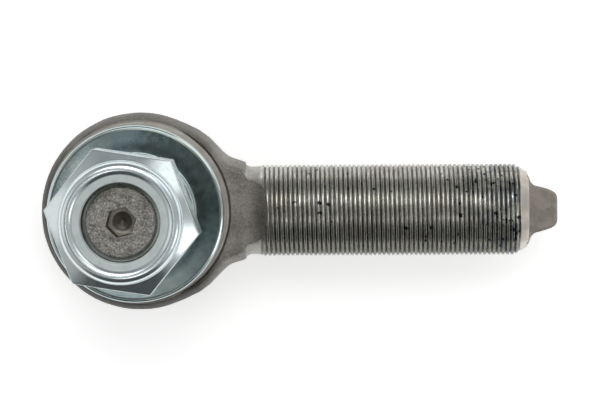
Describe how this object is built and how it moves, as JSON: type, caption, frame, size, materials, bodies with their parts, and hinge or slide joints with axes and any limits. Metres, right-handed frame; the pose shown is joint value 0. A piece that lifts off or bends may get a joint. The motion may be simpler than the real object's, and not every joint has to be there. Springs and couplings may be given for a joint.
{
  "type": "rod end bearing",
  "caption": "Heavy ball joint rod end with male threaded shank, tapered ball stud, dust boot, support disc and collar lock nut.",
  "frame": {"origin": "centre of the ball", "axes": "+X along the threaded shank towards its free end, +Z along the ball stud at rest towards the nut"},
  "size_m": [0.1697, 0.0648, 0.118],
  "materials": {
    "housing": "drop forged, shot blasted and oiled; shank turned and thread rolled",
    "ball_stud": "hardened steel, ground ball and cone, rough sheared end face",
    "upper_ball_seat": "moulded acetal",
    "lower_ball_seat": "moulded acetal",
    "spring_plate": "pressed sheet",
    "preload_spring": "oil tempered spring steel",
    "end_cover": "zinc plated",
    "cover_seal_ring": "nitrile",
    "retaining_ring": "phosphated spring steel",
    "boot": "moulded chloroprene",
    "boot_bush": "moulded",
    "boot_lower_clamp": "zinc plated wire",
    "boot_upper_clamp": "zinc plated wire",
    "support_disc": "bright zinc plating, blue passivated",
    "lock_nut": "bright zinc plating, blue passivated",
    "nut_lock_insert": "polyamide"
  },
  "bodies": {
    "housing": {"housing": "housing", "upper_ball_seat": "upper_ball_seat", "lower_ball_seat": "lower_ball_seat", "spring_plate": "spring_plate", "preload_spring": "preload_spring", "end_cover": "end_cover", "cover_seal_ring": "cover_seal_ring", "retaining_ring": "retaining_ring", "boot_lower_clamp": "boot_lower_clamp"},
    "boot_middle": {"boot": "boot"},
    "boot_top": {"boot_bush": "boot_bush", "boot_upper_clamp": "boot_upper_clamp"},
    "stud": {"ball_stud": "ball_stud", "support_disc": "support_disc"},
    "nut_carrier": {"nut_lock_insert": "nut_lock_insert"},
    "nut": {"lock_nut": "lock_nut"}
  },
  "joints": [
    {"name": "stud_swing", "type": "hinge", "parent": "housing", "child": "boot_middle", "pos_m": [0, 0, 0], "axis": [0, 1, 0], "range_deg": [-16, 16], "deforming": ["boot"]},
    {"name": "stud_sway", "type": "hinge", "parent": "boot_middle", "child": "boot_top", "pos_m": [0, 0, 0], "axis": [1, 0, 0], "range_deg": [-16, 16], "deforming": ["boot"]},
    {"name": "stud_spin", "type": "hinge", "parent": "boot_top", "child": "stud", "pos_m": [0, 0, 0], "axis": [0, 0, 1], "continuous": true},
    {"name": "nut_travel", "type": "slide", "parent": "stud", "child": "nut_carrier", "axis": [0, 0, 1], "range_m": [-0.00601, 0.00751]},
    {"name": "nut_turn", "type": "hinge", "parent": "nut_carrier", "child": "nut", "pos_m": [0, 0, 0.08], "axis": [0, 0, 1], "range_deg": [-1440, 1800]}
  ],
  "couplings": [
    {"joint": "nut_travel", "follows": "nut_turn", "m_per_rad": 0.00023873}
  ]
}
